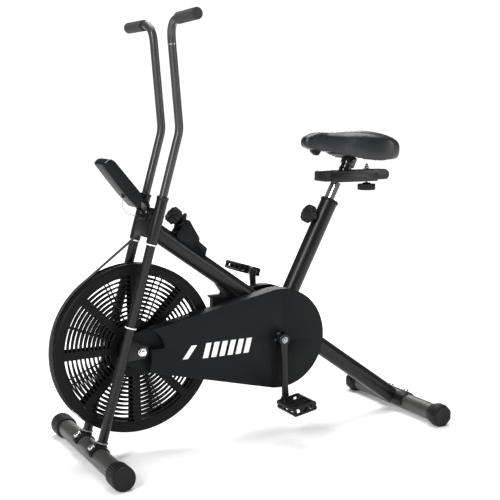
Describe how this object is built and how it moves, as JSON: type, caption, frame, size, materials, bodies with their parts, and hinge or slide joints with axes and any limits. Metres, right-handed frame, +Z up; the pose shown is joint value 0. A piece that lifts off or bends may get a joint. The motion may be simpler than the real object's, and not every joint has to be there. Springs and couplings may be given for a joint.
{
  "type": "air bike",
  "caption": "Fan-braked upright exercise bike with a grilled fan wheel, fixed handlebars, a padded saddle on a sliding clamp, chain cover and floor stabilisers.",
  "frame": {"origin": "on the floor, under the centre of the bike's bounding box", "axes": "+X towards the rear of the bike, +Y towards the rider's right, +Z up"},
  "size_m": [1.1412, 0.504, 1.1687],
  "materials": {
    "frame_paint": "satin black-grey powder coat",
    "tube_paint": "satin dark grey powder coat",
    "black_plastic": "moulded, fine grain",
    "cap_plastic": "ribbed matte",
    "fan_plastic": "satin moulded",
    "foam": "matte foam",
    "white_plastic": "satin",
    "chrome": "polished",
    "steel": "satin",
    "strap_cloth": "woven",
    "vinyl": "semi-matte vinyl",
    "lens": "smooth",
    "button": "satin",
    "wire": "smooth jacket"
  },
  "bodies": {
    "frame": {"front_stabiliser": "tube_paint", "rear_stabiliser": "tube_paint", "handlebar_left": "tube_paint", "handlebar_right": "tube_paint", "rear_saddle_plate": "frame_paint", "fork_left": "frame_paint", "fork_right": "frame_paint", "head_bracket": "frame_paint", "main_beam": "frame_paint", "seat_tube": "frame_paint", "bottom_bracket": "frame_paint", "strap_bracket": "frame_paint", "front_cap_left": "cap_plastic", "front_cap_right": "cap_plastic", "rear_cap_left": "cap_plastic", "rear_cap_right": "cap_plastic", "console_bracket": "cap_plastic", "seat_collar": "cap_plastic", "console_body": "black_plastic", "cover_left": "black_plastic", "cover_back": "black_plastic", "cover_right": "black_plastic", "tension_housing": "black_plastic", "grip_left": "foam", "grip_right": "foam", "ring_foot_left": "white_plastic", "ring_middle_left": "white_plastic", "ring_top_left": "white_plastic", "ring_foot_right": "white_plastic", "ring_middle_right": "white_plastic", "ring_top_right": "white_plastic", "front_bolt_left": "chrome", "front_bolt_right": "chrome", "rear_bolt_left": "chrome", "rear_bolt_right": "chrome", "axle": "chrome", "chain": "steel", "brake_strap": "strap_cloth", "console_lens": "lens", "sensor_wire": "wire"},
    "fan_wheel": {"fan_rim": "fan_plastic", "fan_screen_left": "fan_plastic", "fan_screen_right": "fan_plastic", "fan_rotor": "fan_plastic", "sprocket": "steel"},
    "crank": {"crank_spindle": "steel", "crank_arm_left": "frame_paint", "crank_arm_right": "frame_paint"},
    "left_pedal": {"pedal_left": "cap_plastic"},
    "right_pedal": {"pedal_right": "cap_plastic"},
    "seat_mast": {"seat_post": "chrome", "clamp_bolt": "chrome"},
    "saddle": {"saddle_slider": "frame_paint", "saddle_base": "black_plastic", "saddle_pad": "vinyl"},
    "height_knob": {"height_knob": "cap_plastic"},
    "clamp_knob": {"clamp_knob": "cap_plastic"},
    "tension_knob": {"tension_knob": "cap_plastic"},
    "console_button": {"console_button": "button"}
  },
  "joints": [
    {"name": "fan_spin", "type": "hinge", "parent": "frame", "child": "fan_wheel", "pos_m": [-0.34, 0, 0.294], "axis": [0, 1, 0], "continuous": true},
    {"name": "crank_spin", "type": "hinge", "parent": "frame", "child": "crank", "pos_m": [0.077, 0, 0.286], "axis": [0, 1, 0], "continuous": true},
    {"name": "left_pedal_spin", "type": "hinge", "parent": "crank", "child": "left_pedal", "pos_m": [0.077, -0.158, 0.116], "axis": [0, 1, 0], "continuous": true},
    {"name": "right_pedal_spin", "type": "hinge", "parent": "crank", "child": "right_pedal", "pos_m": [0.077, 0.158, 0.456], "axis": [0, 1, 0], "continuous": true},
    {"name": "seat_height", "type": "slide", "parent": "frame", "child": "seat_mast", "axis": [0.4619, 0, 0.8869], "range_m": [-0.035, 0.15]},
    {"name": "saddle_slide", "type": "slide", "parent": "seat_mast", "child": "saddle", "axis": [1, 0, 0], "range_m": [-0.029, 0.029]},
    {"name": "height_knob_turn", "type": "hinge", "parent": "frame", "child": "height_knob", "pos_m": [0.22458, 0, 0.62034], "axis": [-0.8869, 0, 0.4619], "range_deg": [-360, 360]},
    {"name": "clamp_knob_turn", "type": "hinge", "parent": "seat_mast", "child": "clamp_knob", "pos_m": [0.414, 0, 0.702], "axis": [0, 0, 1], "range_deg": [-360, 360]},
    {"name": "tension_knob_turn", "type": "hinge", "parent": "frame", "child": "tension_knob", "pos_m": [-0.20313, 0, 0.62963], "axis": [-0.7507, 0, 0.6606], "range_deg": [-1, 300]},
    {"name": "button_press", "type": "slide", "parent": "frame", "child": "console_button", "axis": [-0.7683, 0, -0.6401], "range_m": [0, 0.0012], "stiffness_N_per_m": 400, "springref_m": -0.0005}
  ],
  "couplings": [
    {"joint": "crank_spin", "follows": "fan_spin", "ratio": 0.36364}
  ]
}
